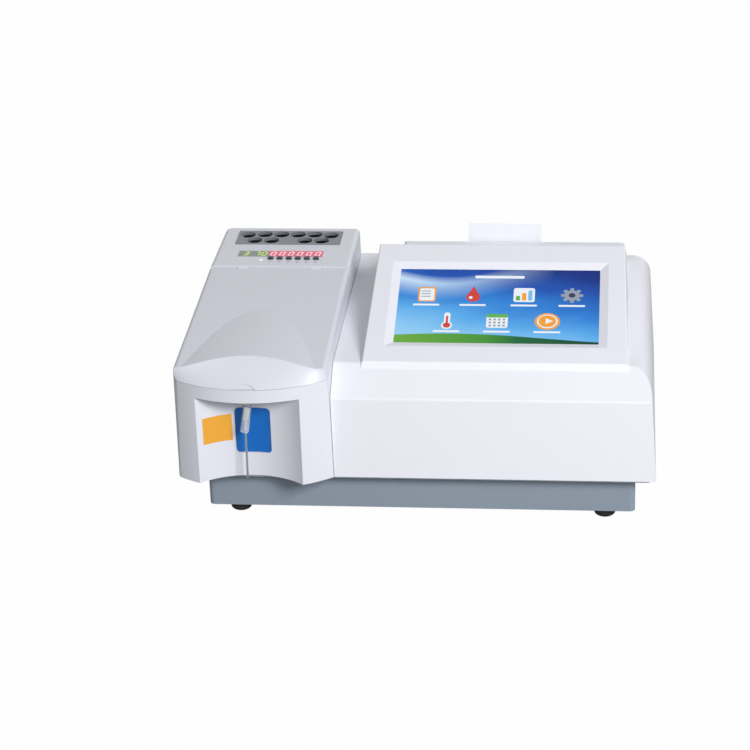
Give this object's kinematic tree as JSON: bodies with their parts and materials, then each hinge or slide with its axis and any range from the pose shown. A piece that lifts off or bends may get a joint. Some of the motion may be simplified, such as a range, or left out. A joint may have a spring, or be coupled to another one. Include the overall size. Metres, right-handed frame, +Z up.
{
  "type": "semi-automatic biochemistry analyzer",
  "caption": "Bench analyzer: tilted touch display on a slate base, tower with sampling recess, lift-up cover, incubator wells and timer panel, slip printer behind.",
  "frame": {"origin": "bench plane under the middle of the overall box", "axes": "+X to the user's right, +Y to the rear, +Z up"},
  "size_m": [0.3566, 0.272, 0.1718],
  "materials": {
    "shell_white": "fine satin texture",
    "tray_slate": "satin powder coat",
    "foot_rubber": "matt",
    "bezel_grey": "satin",
    "glass": "gloss",
    "clear_plastic": "clear",
    "window_tint": "gloss",
    "key_blue": "satin",
    "dark_plastic": "matt",
    "grey_plastic": "satin",
    "steel": "satin",
    "aluminium": "satin",
    "board": "satin",
    "paper": "matt",
    "soft_tube": "satin",
    "quartz": "clear"
  },
  "bodies": {
    "cabinet": {"base_tray": "tray_slate", "feet": "foot_rubber", "main_housing": "shell_white", "left_housing": "shell_white", "hinge_pins": "steel", "housing_screws": "steel", "rear_panel": "tray_slate", "console_bezel": "bezel_grey", "touch_glass": "glass", "lcd_module": "dark_plastic", "printer_housing": "bezel_grey", "print_head": "dark_plastic", "paper_strip": "paper", "well_plate": "grey_plastic", "heater_block": "aluminium", "timer_window": "window_tint", "timer_board": "board", "key_switch": "dark_plastic", "probe_holder": "steel", "probe_sleeve": "clear_plastic", "aspiration_needle": "steel", "sample_tube": "soft_tube", "optics_bench": "aluminium", "lamp_housing": "aluminium", "halogen_lamp": "quartz", "condenser_lens": "quartz", "filter_motor": "steel", "flow_cell_block": "aluminium", "flow_cell": "dark_plastic", "detector": "board", "pump_head": "grey_plastic", "pump_motor": "steel", "pump_tube": "soft_tube", "main_board": "board", "power_supply": "steel", "mains_inlet": "dark_plastic", "power_switch": "dark_plastic", "serial_port": "steel", "cooling_fan": "dark_plastic", "waste_fitting": "grey_plastic"},
    "cover": {"sampling_cover": "shell_white"},
    "key": {"aspirate_key": "key_blue"},
    "paper_door": {"printer_door": "bezel_grey"},
    "platen": {"platen_roller": "dark_plastic"},
    "roll": {"paper_roll": "paper"},
    "rotor": {"pump_rotor": "dark_plastic"},
    "wheel": {"filter_wheel": "dark_plastic", "optical_filters": "quartz"},
    "fan": {"fan_rotor": "dark_plastic"},
    "rocker": {"power_rocker": "dark_plastic"},
    "button_1": {"timer_button_1": "dark_plastic"},
    "button_2": {"timer_button_2": "dark_plastic"},
    "button_3": {"timer_button_3": "dark_plastic"},
    "button_4": {"timer_button_4": "dark_plastic"},
    "button_5": {"timer_button_5": "dark_plastic"},
    "button_6": {"timer_button_6": "dark_plastic"},
    "roller_1": {"pump_roller_1": "steel"},
    "roller_2": {"pump_roller_2": "steel"},
    "roller_3": {"pump_roller_3": "steel"}
  },
  "joints": [
    {"name": "cover_hinge", "type": "hinge", "parent": "cabinet", "child": "cover", "pos_m": [-0.1238, 0.0508, 0.1364], "axis": [-1, 0, 0], "range_deg": [0, 85]},
    {"name": "key_slide", "type": "slide", "parent": "cabinet", "child": "key", "axis": [0, 1, 0], "range_m": [0, 0.0015], "stiffness_N_per_m": 150},
    {"name": "button_1_slide", "type": "slide", "parent": "cabinet", "child": "button_1", "axis": [0, 0, -1], "range_m": [0, 0.0008], "stiffness_N_per_m": 150},
    {"name": "button_2_slide", "type": "slide", "parent": "cabinet", "child": "button_2", "axis": [0, 0, -1], "range_m": [0, 0.0008], "stiffness_N_per_m": 150},
    {"name": "button_3_slide", "type": "slide", "parent": "cabinet", "child": "button_3", "axis": [0, 0, -1], "range_m": [0, 0.0008], "stiffness_N_per_m": 150},
    {"name": "button_4_slide", "type": "slide", "parent": "cabinet", "child": "button_4", "axis": [0, 0, -1], "range_m": [0, 0.0008], "stiffness_N_per_m": 150},
    {"name": "button_5_slide", "type": "slide", "parent": "cabinet", "child": "button_5", "axis": [0, 0, -1], "range_m": [0, 0.0008], "stiffness_N_per_m": 150},
    {"name": "button_6_slide", "type": "slide", "parent": "cabinet", "child": "button_6", "axis": [0, 0, -1], "range_m": [0, 0.0008], "stiffness_N_per_m": 150},
    {"name": "paper_door_hinge", "type": "hinge", "parent": "cabinet", "child": "paper_door", "pos_m": [0.057, 0.11439, 0.12515], "axis": [-1, 0, 0], "range_deg": [0, 95]},
    {"name": "platen_spin", "type": "hinge", "parent": "paper_door", "child": "platen", "pos_m": [0.057, 0.07215, 0.143], "axis": [1, 0, 0], "continuous": true},
    {"name": "roll_spin", "type": "hinge", "parent": "cabinet", "child": "roll", "pos_m": [0.057, 0.0895, 0.112], "axis": [1, 0, 0], "continuous": true},
    {"name": "rotor_spin", "type": "hinge", "parent": "cabinet", "child": "rotor", "pos_m": [-0.138, -0.058, 0.12], "axis": [0, 0, 1], "continuous": true},
    {"name": "roller_1_spin", "type": "hinge", "parent": "rotor", "child": "roller_1", "pos_m": [-0.138, -0.0456, 0.12], "axis": [0, 0, 1], "continuous": true},
    {"name": "roller_2_spin", "type": "hinge", "parent": "rotor", "child": "roller_2", "pos_m": [-0.14874, -0.0642, 0.12], "axis": [0, 0, 1], "continuous": true},
    {"name": "roller_3_spin", "type": "hinge", "parent": "rotor", "child": "roller_3", "pos_m": [-0.12726, -0.0642, 0.12], "axis": [0, 0, 1], "continuous": true},
    {"name": "filter_wheel_spin", "type": "hinge", "parent": "cabinet", "child": "wheel", "pos_m": [-0.0195, -0.038, 0.084], "axis": [1, 0, 0], "continuous": true},
    {"name": "fan_spin", "type": "hinge", "parent": "cabinet", "child": "fan", "pos_m": [-0.008, 0.121, 0.084], "axis": [0, 1, 0], "continuous": true},
    {"name": "rocker_tilt", "type": "hinge", "parent": "cabinet", "child": "rocker", "pos_m": [0.104, 0.1281, 0.066], "axis": [1, 0, 0], "range_deg": [0, 20]}
  ],
  "couplings": [
    {"joint": "roller_1_spin", "follows": "rotor_spin", "ratio": -4.7647},
    {"joint": "roller_2_spin", "follows": "rotor_spin", "ratio": -4.7647},
    {"joint": "roller_3_spin", "follows": "rotor_spin", "ratio": -4.7647}
  ]
}
